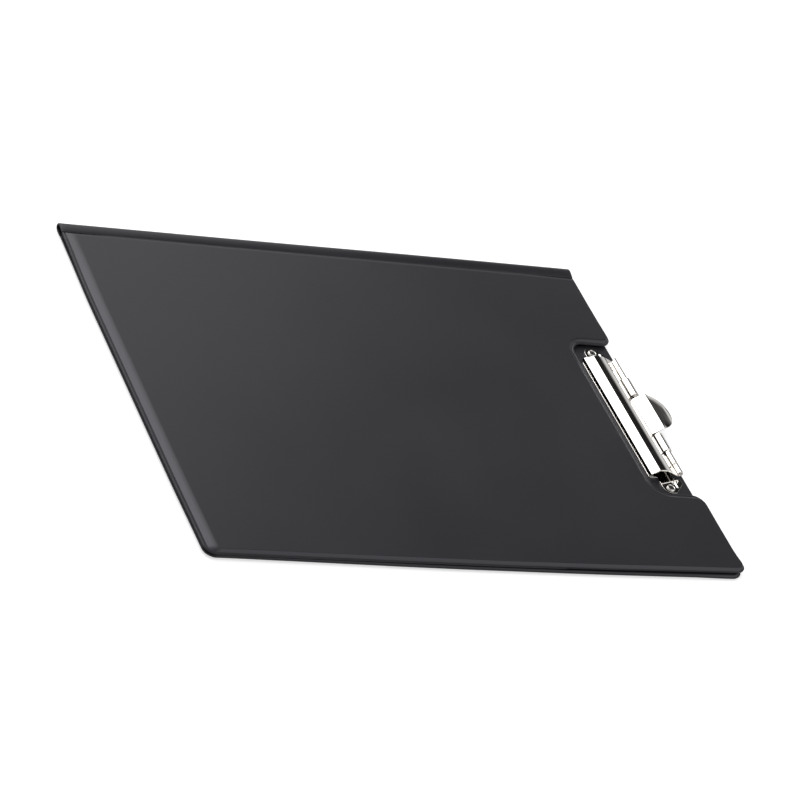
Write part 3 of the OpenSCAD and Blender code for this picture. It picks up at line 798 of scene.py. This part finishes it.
def buildJaw():
    front, ca, cb = Vector(jaw["front"]), Vector(jaw["crestFront"]), Vector(jaw["crestRear"])
    # the arch runs straight into the roll, so it meets the pin's circle as a tangent
    root = math.atan2(cb.y, cb.x) + math.acos(clip["rollInner"] / cb.length)
    rootAngle = math.degrees(root)
    rootPoint = clip["rollInner"] * Vector((math.cos(root), math.sin(root)))
    lip = Vector(jaw["lipTop"])
    rise = (lip - front).normalized()
    start = front + rise * (clip["sheet"] * rise.x / rise.y)
    closed = jaw["closedTo"] + 360 - rootAngle
    plate = bendPath([start, lip, ca, cb, rootPoint], [jaw["lipBend"], jaw["frontBend"], jaw["rearBend"]],
                     ((0, 0), clip["rollInner"], rootAngle, closed))
    knee = Vector(jaw["knee"])
    d = math.radians(jaw["droop"])
    tip = knee + jaw["tabReach"] * Vector((math.cos(d), math.sin(d)))
    # under the tab the crest bends more, with the radius that keeps its start where the plate's is
    turnPlate = (cb - ca).angle(rootPoint - cb)
    turnTab = (cb - ca).angle(Vector(jaw["valley"]) - cb)
    crestTab = jaw["rearBend"] * math.tan(turnPlate / 2) / math.tan(turnTab / 2)
    tab = bendPath([start, lip, ca, cb, jaw["valley"], jaw["tabBend"], knee, tip],
                   [jaw["lipBend"], jaw["frontBend"], crestTab, jaw["valleyRadius"], jaw["tabBendRadius"],
                    jaw["kneeRadius"]])
    uRoot = sum(p[-1] for p in plate[:-1])
    uWindow = uRoot - math.sqrt(jaw["windowFront"] ** 2 - clip["rollInner"] ** 2)
    uClosed = pathLength(plate)
    uOpen = uRoot + clip["rollInner"] * math.radians(jaw["openTo"] + 360 - rootAngle)

    def surface(u, v):
        # the tab's path in the middle goes over into the plate's path on both sides
        a = abs(v)
        w = 1 - smoothStep(jaw["blendFrom"], jaw["blendTo"], a)
        p, q = pathPoint(plate, u), pathPoint(tab, u)
        if w <= 0 or u > uRoot and a > jaw["blendFrom"]:
            q = p
        elif w >= 1:
            p = q
        x, z = lerp(p.x, q.x, w), lerp(p.y, q.y, w)
        if x > jaw["tabBend"][0]:
            out = math.hypot(x - jaw["tabCentre"], v - jaw["tabMiddle"]) - jaw["domeFrom"]
            fall = max(0.0, out / (jaw["tabRadius"] - jaw["domeFrom"])) ** 2
            z -= jaw["domeDrop"] * fall * smoothStep(2.2, 5.0, x)
        return Vector((pinAt.x + x, pinAt.y + v, pinAt.z + z))

    def uAtX(x):
        lo, hi = uWindow, pathLength(tab)
        for k in range(40):
            mid = (lo + hi) / 2
            if pathPoint(tab, mid).x < x:
                lo = mid
            else:
                hi = mid
        return (lo + hi) / 2

    half = clip["length"] / 2
    r0, r1 = jaw["relief"]
    side = [((0, half), 0.5), ((uOpen, half), 0.5), ((uOpen, r1), 0.4), ((uRoot, r1), 0.0), ((uRoot, r0), 0.0),
            ((uClosed, r0), 0.4), ((uClosed, jaw["windowInner"]), 0.4), ((uRoot, jaw["windowInner"]), 0.0),
            ((uRoot, jaw["windowOuter"]), 0.6), ((uWindow, jaw["windowOuter"]), 0.6)]
    arcPoints = []
    for k in range(jaw["tabSteps"] + 1):
        a = math.radians(90 - 180 * k / jaw["tabSteps"])
        arcPoints.append((uAtX(jaw["tabCentre"] + jaw["tabRadius"] * math.cos(a)),
                          jaw["tabMiddle"] + jaw["tabRadius"] * math.sin(a)))
    # anticlockwise in (u, v) means u to the right and v up, so the outline runs down the far side first
    upper = [p for p, r in side]
    upperR = [r for p, r in side]
    low, high = (uWindow, jaw["tabMiddle"] - jaw["tabRadius"]), (uWindow, jaw["tabMiddle"] + jaw["tabRadius"])
    points = [(u, -v) for u, v in upper] + [low] + arcPoints[::-1] + [high] + upper[::-1]
    radii = upperR + [0.35] + [0.0] * len(arcPoints) + [0.35] + upperR[::-1]
    points[-1:] = [(jaw["flareTo"], half), (0, half + jaw["foldFlare"])]
    radii[-1:] = [2.5, 0.8]
    outline = roundCorners(points, radii)
    cuts = [uWindow, uRoot, uOpen]
    # bend rows keep clear of the cuts, whose corners would fold over otherwise
    bends = [u for u in pathRows(plate, 5.0) + pathRows(tab, 5.0) if min(abs(u - c) for c in cuts) > 0.25]
    rows = sorted(set(round(u, 5) for u in bends + cuts))
    rows = [rows[0]] + [b for a, b in zip(rows, rows[1:]) if b - a > 0.02]
    loop = splitEdges(outline, rows, 3.0)
    columns = [s * v for s in (-1, 1) for v in (
        1.5, 4.5, 7.5, 10.5, 13.0, 13.6, 14.2, 14.8, 15.4, 16.0, 16.6, 17.2, 18.0, 20, 22.5, 25, 28, 31, 34, 37,
        40, 43, 44.6, 45.8)]
    return bentSheet("clipJaw", [loop], rows, surface, columns)


dress(buildJaw(), "jaw", "nickel", "clip_jaw")

base = {
    "front": -18.65, "rear": -1.82, "heel": 2.5, "heelHalf": 10.0, "tongueFront": -13.4, "tongueRear": 0.9,
    "tongueEnd": 55.9, "tongueRadius": 4.5, "tongueChamfer": 7.2, "tongueGap": 0.8,
    "rivetX": -8.5, "rivetY": 52.1, "rivetHole": 2.05, "strapBend": 0.5, "strapTo": -60.0,
    "slit": 0.5, "slitTo": -3.06, "bead": {"x": -3.8, "half": 51.4, "high": 0.48, "wide": 0.7, "steps": 5},
}


def buildBase():
    x0 = base["front"]
    top = clip["plateTop"]
    strap = bendPath([(x0, top), (-clip["strapOuter"], top), (-clip["strapOuter"], 0)], [base["strapBend"]],
                     ((0, 0), clip["strapOuter"], 180.0, base["strapTo"] - 180.0))
    uBend = strap[0][-1]
    bead = base["bead"]
    inner = clip["strapMiddle"] - clip["strapWidth"] / 2
    outer = clip["strapMiddle"] + clip["strapWidth"] / 2

    def surface(u, v):
        if u > uBend and inner - 0.2 < abs(v) < outer + 0.2:
            p = pathPoint(strap, u)
            return Vector((pinAt.x + p.x, pinAt.y + v, pinAt.z + p.y))
        d = min(bead["wide"], math.hypot(x0 + u - bead["x"], max(0.0, abs(v) - bead["half"])))
        rise = bead["high"] * (0.5 + 0.5 * math.cos(math.pi * d / bead["wide"]))
        return Vector((pinAt.x + x0 + u, pinAt.y + v, pinAt.z + top + rise))

    # half the outline, from the front to the rear: tongue, strap, heel
    end = pathLength(strap)
    rear, heel, slit = base["rear"] - x0, base["heel"] - x0, base["slitTo"] - x0
    half = clip["length"] / 2
    tf = base["tongueFront"] - x0
    w = base["slit"]
    tr, te, tc = base["tongueRear"] - x0, base["tongueEnd"], base["tongueChamfer"]
    step = half + base["tongueGap"]
    side = [((0, half), 0.6), ((tf, half), 0.8), ((tf, te), base["tongueRadius"]), ((tr - tc, te), 0.5),
            ((tr, te - tc), 0.5), ((tr, step), 0.4), ((rear, step), 0.4), ((rear, outer + w), 0.3),
            ((slit, outer + w), 0.2), ((slit, outer), 0.2), ((end, outer), 0.7), ((end, inner), 0.7),
            ((slit, inner), 0.2), ((slit, inner - w), 0.2), ((rear, inner - w), 0.3),
            ((rear, base["heelHalf"]), 0.5), ((heel, base["heelHalf"]), 0.8)]
    points = [(u, -v) for (u, v), r in side] + [p for p, r in reversed(side)]
    radii = [r for p, r in side] + [r for p, r in reversed(side)]
    outline = roundCorners(points, radii)
    rows = pathRows(strap, 6.0) + [rear, heel, tr]
    count = bead["steps"]
    rows += [bead["x"] + k * bead["wide"] / count - x0 for k in range(-count, count + 1)]
    rows = sorted(set(round(u, 5) for u in rows))
    rows = [rows[0]] + [b for a, b in zip(rows, rows[1:]) if b - a > 0.02]
    loops = [splitEdges(outline, rows, 3.0)]
    turns = [-2 * math.pi * k / 32 for k in range(32)]
    for y in (-base["rivetY"], base["rivetY"]):
        r, x = base["rivetHole"], base["rivetX"] - x0
        loops.append([Vector((x + r * math.cos(a), y + r * math.sin(a))) for a in turns])
    columns = [s * v for s in (-1, 1) for v in (
        1.5, 5, 9, 12, 15, 18, 21.4, 25, 28, 32, 36, 40, 44, 46.5, 48, 50, 51, 51.4, 51.7, 52, 52.4, 53, 54, 55.2)]
    return bentSheet("clipBase", loops, rows, surface, columns)


dress(buildBase(), "back", "nickel", "clip_base")
print("jaw and base plate ready")


def lathe(profile, around=48):
    # revolves an (r, z) profile about Z; points on the axis are shared
    verts, faces, rings = [], [], []
    for r, z in profile:
        if r < 1e-6:
            rings.append([len(verts)] * around)
            verts.append((0.0, 0.0, z))
        else:
            rings.append(list(range(len(verts), len(verts) + around)))
            verts += [(r * math.cos(2 * math.pi * k / around), r * math.sin(2 * math.pi * k / around), z)
                      for k in range(around)]
    for low, high in zip(rings, rings[1:]):
        for k in range(around):
            j = (k + 1) % around
            face = []
            for v in (low[k], low[j], high[j], high[k]):
                if v not in face:
                    face.append(v)
            faces.append(tuple(face))
    return verts, faces


def endNodes(group, source, material, result):
    # every piece made by nodes ends as real geometry with its material
    real = addNode(group, "GeometryNodeRealizeInstances", {"Geometry": source})
    painted = addNode(group, "GeometryNodeSetMaterial",
                      {"Geometry": real.outputs["Geometry"], "Material": material})
    group.links.new(painted.outputs["Geometry"], result["Geometry"])


def bakeNodes(obj, group, values, sharp):
    # sets the group's inputs, then keeps the evaluated result as the object's own plain mesh
    modifier = obj.modifiers.new("shape", "NODES")
    modifier.node_group = group
    for item in group.interface.items_tree:
        if item.item_type == "SOCKET" and item.in_out == "INPUT" and item.name in values:
            modifier[item.identifier] = values[item.name]
    obj.update_tag()
    graph = bpy.context.evaluated_depsgraph_get()
    shaped = obj.evaluated_get(graph)
    mesh = bpy.data.meshes.new_from_object(shaped, preserve_all_data_layers=True, depsgraph=graph)
    obj.modifiers.clear()
    obj.data = mesh
    mesh.set_sharp_from_angle(angle=math.radians(sharp))
    return obj


rivet = {"spacing": 104.2, "x": -8.5, "head": 4.0, "headFoot": 0.1, "headTop": 0.7, "shank": 2.0, "bore": 1.66,
         "floorZ": 1.2, "plateZ": 3.1, "ringOuter": 2.36, "ringTop": 3.75, "headEdge": 0.15}


def buildRivets():
    r = rivet
    roll = (r["ringOuter"] - r["bore"]) / 2
    cx, cz = r["bore"] + roll, r["ringTop"] - roll
    rim, foot, top, edge = r["head"], r["headFoot"], r["headTop"], r["headEdge"]
    profile = [(0.0, foot), (rim - edge, foot), (rim, foot + edge), (rim, top - edge), (rim - edge, top),
               (r["shank"] + 0.05, top), (r["shank"], top + 0.05), (r["shank"], r["plateZ"] + 0.02),
               (r["ringOuter"] - 0.12, r["plateZ"] + 0.02)]
    for k in range(-2, 9):                       # the rolled ring
        a = math.radians(22.5 * k)
        profile.append((cx + roll * math.cos(a), cz + roll * math.sin(a)))
    profile += [(r["bore"], cz - 0.25), (r["bore"] - 0.03, r["plateZ"] - 0.3),
                (r["bore"] - 0.05, r["floorZ"] + 0.25), (r["bore"] - 0.25, r["floorZ"] + 0.03), (0.0, r["floorZ"])]
    verts, faces = lathe(profile)
    obj = makeObject("clipRivets", verts, faces, brightNickel)
    group, given, result = startGroup("rivetPair", "GeometryNodeTree", [
        ("Geometry", "Geometry", None), ("Count", "Int", 2), ("Spacing", "Float", 0.1042),
        ("First", "Vector", (0.0, 0.0, 0.0)), ("Metal", "Material", None)], [("Geometry", "Geometry")])
    step = addNode(group, "ShaderNodeCombineXYZ", {"Y": given["Spacing"]}).outputs[0]
    line = addNode(group, "GeometryNodeMeshLine",
                   {"Count": given["Count"], "Start Location": given["First"], "Offset": step})
    copies = addNode(group, "GeometryNodeInstanceOnPoints",
                     {"Points": line.outputs["Mesh"], "Instance": given["Geometry"]})
    endNodes(group, copies.outputs["Instances"], given["Metal"], result)
    first = Vector((pinAt.x + r["x"], pinAt.y - r["spacing"] / 2, 0.0)) * mm
    values = {"Count": 2, "Spacing": r["spacing"] * mm, "First": first, "Metal": brightNickel}
    return bakeNodes(obj, group, values, 40)


dress(buildRivets(), "back", "nickel", "clip_rivets")

pin = {"radius": 1.0, "length": 87.4, "chamfer": 0.2}


def buildPin():
    half, r, c = pin["length"] / 2, pin["radius"], pin["chamfer"]
    profile = [(0.0, -half), (r - c, -half), (r, -half + c)]
    profile += [(r, lerp(-half + c, half - c, k / 12)) for k in range(1, 12)]
    profile += [(r, half - c), (r - c, half), (0.0, half)]
    verts, faces = lathe(profile, 32)
    verts = [(pinAt.x + x, pinAt.y + z, pinAt.z - y) for x, y, z in verts]
    obj = makeObject("clipPin", verts, faces, brightNickel)
    obj.data.set_sharp_from_angle(angle=math.radians(40))
    return obj


dress(buildPin(), "jaw", "nickel", "clip_pin")

spring = {
    "coilRadius": 1.36, "wireRadius": 0.3, "pitch": 0.75, "turns": 10, "tabSlope": 40.0,
    "lowerLeg": (2.2, -2.64), "upperLeg": 4.3, "pointsPerTurn": 36, "legShare": 0.03,
}


def buildSpring():
    # one wire: lower leg, coils round the pin, upper leg under the tab
    s = spring
    sweep = 360.0 * s["turns"] + 270.0 - (90.0 + s["tabSlope"])
    length = s["pitch"] * sweep / 360.0
    group, given, result = startGroup("torsionSpring", "GeometryNodeTree", [
        ("Geometry", "Geometry", None), ("Coil Radius", "Float", 0.00136), ("Wire Radius", "Float", 0.0003),
        ("Coil Length", "Float", 0.0078), ("Sweep", "Float", 65.0), ("Points", "Int", 400),
        ("Leg Share", "Float", 0.03), ("Lower Leg", "Vector", (0.0, 0.0, 0.0)),
        ("Upper Leg", "Vector", (0.0, 0.0, 0.0)), ("Middle", "Vector", (0.0, 0.0, 0.0)),
        ("Metal", "Material", None)], [("Geometry", "Geometry")])

    def m(operation, a, b=None):
        return mathNode(group, operation, a, b)

    line = addNode(group, "GeometryNodeCurvePrimitiveLine").outputs["Curve"]
    even = addNode(group, "GeometryNodeResampleCurve", {"Curve": line, "Count": given["Points"]})
    along = addNode(group, "GeometryNodeSplineParameter").outputs["Factor"]
    leg = given["Leg Share"]
    # the coils fill what the two legs leave of the wire
    turnShare = m("DIVIDE", m("SUBTRACT", along, leg), m("SUBTRACT", 1.0, m("MULTIPLY", leg, 2.0)))
    turnShare = m("MINIMUM", m("MAXIMUM", turnShare, 0.0), 1.0)
    angle = m("SUBTRACT", math.radians(270.0), m("MULTIPLY", given["Sweep"], turnShare))
    spot = addNode(group, "ShaderNodeCombineXYZ", {
        "X": m("MULTIPLY", given["Coil Radius"], m("COSINE", angle)),
        "Y": m("MULTIPLY", given["Coil Length"], m("SUBTRACT", turnShare, 0.5)),
        "Z": m("MULTIPLY", given["Coil Radius"], m("SINE", angle))}).outputs[0]
    lowShare = m("MAXIMUM", m("SUBTRACT", 1.0, m("DIVIDE", along, leg)), 0.0)
    highShare = m("MAXIMUM", m("SUBTRACT", 1.0, m("DIVIDE", m("SUBTRACT", 1.0, along), leg)), 0.0)
    for share, name in ((lowShare, "Lower Leg"), (highShare, "Upper Leg"), (1.0, "Middle")):
        shift = addNode(group, "ShaderNodeVectorMath", {0: given[name], "Scale": share}, operation="SCALE")
        spot = addNode(group, "ShaderNodeVectorMath", {0: spot, 1: shift.outputs[0]}).outputs[0]
    path = addNode(group, "GeometryNodeSetPosition", {"Geometry": even.outputs["Curve"], "Position": spot})
    ring = addNode(group, "GeometryNodeCurvePrimitiveCircle", {"Resolution": 12, "Radius": given["Wire Radius"]})
    wire = addNode(group, "GeometryNodeCurveToMesh", {
        "Curve": path.outputs["Geometry"], "Profile Curve": ring.outputs["Curve"], "Fill Caps": True})
    endNodes(group, wire.outputs["Mesh"], given["Metal"], result)
    low = Vector((s["lowerLeg"][0], 0.0, s["lowerLeg"][1] + s["coilRadius"]))
    slope = math.radians(s["tabSlope"])
    high = s["upperLeg"] * Vector((math.cos(slope), 0.0, math.sin(slope)))
    # the nodes need some mesh to start from, and replace it
    obj = makeObject("clipSpring", [(0, 0, 0), (1, 0, 0), (0, 1, 0)], [(0, 1, 2)], springSteel)
    bakeNodes(obj, group, {
        "Coil Radius": s["coilRadius"] * mm, "Wire Radius": s["wireRadius"] * mm, "Coil Length": length * mm,
        "Sweep": math.radians(sweep), "Points": int(s["pointsPerTurn"] * sweep / 360), "Leg Share": s["legShare"],
        "Lower Leg": low * mm, "Upper Leg": high * mm, "Middle": pinAt * mm, "Metal": springSteel}, 50)
    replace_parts(obj, "clip_spring")
    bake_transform(obj)
    return obj


buildSpring()
print("rivets, pin and spring ready")

camera = {"place": (-0.95603, -1.13266, 0.99011), "azimuth": -40.107, "elevation": 33.665, "roll": 28.836,
          "lens": 157.08, "sensor": 36.0}


def standAt(name, data, place, looking):
    # a camera or lamp at its place, turned to look along a direction
    obj = bpy.data.objects.new(name, data)
    scene.collection.objects.link(obj)
    obj.location = place
    obj.rotation_mode = "QUATERNION"
    obj.rotation_quaternion = looking.to_track_quat("-Z", "Y")
    return obj


def makeCamera():
    data = bpy.data.cameras.new("camera")
    data.lens = camera["lens"]
    data.sensor_width = camera["sensor"]
    data.clip_start, data.clip_end = 0.05, 50.0
    a, e = math.radians(camera["azimuth"]), math.radians(camera["elevation"])
    back = Vector((math.sin(a) * math.cos(e), -math.cos(a) * math.cos(e), math.sin(e)))
    obj = standAt("camera", data, camera["place"], -back)
    obj.rotation_quaternion = obj.rotation_quaternion @ Quaternion((0, 0, 1), math.radians(camera["roll"]))
    scene.camera = obj


# angles in degrees: height over the horizon, and how far a spot's core and its faded edge reach from its middle
studio = {
    "diffuse": 0.62,                             # strength of the even light from all round
    "surround": 0.42, "lower": 0.85,             # what polished metal mirrors above and below the band
    "bandTop": 30.0, "bandFoot": 18.0,           # where the one changes into the other
    "horizon": {"top": 9.0, "foot": 3.0, "tone": 0.06},
    "card": {"azimuth": 50.0, "height": 50.0, "core": 24.0, "half": 52.0, "tone": 0.018},
    "glows": [{"azimuth": 96.0, "height": 42.0, "half": 27.0, "core": 6.0, "strength": 3.4},
              {"azimuth": 128.0, "height": 38.0, "half": 40.0, "core": 16.0, "strength": 0.7},
              {"azimuth": -45.0, "height": 42.0, "half": 48.0, "core": 12.0, "strength": 1.4}],
    "lamps": {"softbox": {"place": (-0.80, 1.02, 0.98), "size": 0.95, "power": 4.0},
              "topLamp": {"place": (-0.5, 0.3, 1.7), "size": 1.2, "power": 5.0},
              "sideLamp": {"place": (0.20, 0.82, 0.60), "size": 0.6, "power": 1.0}},
    "floor": (0.74, 0.74, 0.745), "floorGlow": 0.58, "floorHalf": 6.0, "floorDrop": 0.0001,
}


def skySpot(tree, look, spec, outside, inside):
    # a value that changes smoothly towards a named spot of the surroundings
    a, h = math.radians(spec["azimuth"]), math.radians(spec["height"])
    middle = (math.cos(a) * math.cos(h), math.sin(a) * math.cos(h), math.sin(h))
    near = addNode(tree, "ShaderNodeVectorMath", {0: look, 1: middle}, operation="DOT_PRODUCT").outputs["Value"]
    edge, core = math.cos(math.radians(spec["half"])), math.cos(math.radians(spec["core"]))
    return mapRange(tree, near, edge, core, outside, inside, interpolation_type="SMOOTHSTEP")


def heightStep(tree, z, foot, top, below, above):
    low, high = math.sin(math.radians(foot)), math.sin(math.radians(top))
    return mapRange(tree, z, low, high, below, above, interpolation_type="SMOOTHSTEP")


def makeWorld():
    # plain light for diffuse rays, a studio for the metal to mirror, and white behind it all
    world = bpy.data.worlds.new("studio")
    scene.world = world
    world.use_nodes = True
    tree = world.node_tree
    tree.nodes.clear()
    look = addNode(tree, "ShaderNodeTexCoord").outputs["Generated"]
    z = addNode(tree, "ShaderNodeSeparateXYZ", {0: look}).outputs["Z"]
    card, horizon = studio["card"], studio["horizon"]
    upper = skySpot(tree, look, card, studio["surround"], card["tone"])
    lower = heightStep(tree, z, horizon["foot"], horizon["top"], horizon["tone"], studio["lower"])
    band = heightStep(tree, z, studio["bandFoot"], studio["bandTop"], 1.0, 0.0)
    shine = addNode(tree, "ShaderNodeMix", {"Factor": band, "A": upper, "B": lower}).outputs["Result"]
    for glow in studio["glows"]:
        shine = mathNode(tree, "ADD", shine, skySpot(tree, look, glow, 0.0, glow["strength"]))
    white = (1, 1, 1, 1)
    even = addNode(tree, "ShaderNodeBackground", {"Color": white, "Strength": studio["diffuse"]}).outputs[0]
    mirrored = addNode(tree, "ShaderNodeBackground", {"Strength": shine}).outputs[0]
    backdrop = addNode(tree, "ShaderNodeBackground", {"Color": white}).outputs[0]
    path = addNode(tree, "ShaderNodeLightPath").outputs
    light = addNode(tree, "ShaderNodeMixShader", {"Fac": path["Is Glossy Ray"], 1: even, 2: mirrored}).outputs[0]
    seen = addNode(tree, "ShaderNodeMixShader", {"Fac": path["Is Camera Ray"], 1: light, 2: backdrop}).outputs[0]
    addNode(tree, "ShaderNodeOutputWorld", {"Surface": seen})


def makeFloor():
    mesh = bpy.data.meshes.new("floor")
    r = studio["floorHalf"]
    mesh.from_pydata([(-r, -r, 0), (r, -r, 0), (r, r, 0), (-r, r, 0)], [], [(0, 1, 2, 3)])
    obj = bpy.data.objects.new("floor", mesh)
    scene.collection.objects.link(obj)
    obj.location.z = -studio["floorDrop"]
    material, tree, shader = startMaterial("paleFloor")
    seen = addNode(tree, "ShaderNodeLightPath").outputs["Is Camera Ray"]
    feed(tree, shader, {
        "Base Color": (*studio["floor"], 1), "Roughness": 0.9, "Specular IOR Level": 0.0,
        "Emission Color": (1, 1, 1, 1),
        "Emission Strength": mathNode(tree, "MULTIPLY", seen, studio["floorGlow"])})
    mesh.materials.append(material)


def makeLamp(name, spec):
    # a square lamp that looks at the middle of the clipboard
    data = bpy.data.lights.new(name, "AREA")
    data.shape = "SQUARE"
    data.size = spec["size"]
    data.energy = spec["power"]
    standAt(name, data, spec["place"], -Vector(spec["place"]))


makeCamera()
makeWorld()
makeFloor()
for lampName, lampSpec in studio["lamps"].items():
    makeLamp(lampName, lampSpec)
scene.view_settings.view_transform = "Standard"
print("camera and studio ready")

for board in ("back_core", "cover_core"):
    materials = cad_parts[board].data.materials
    materials.clear()
    materials.append(greyboard)
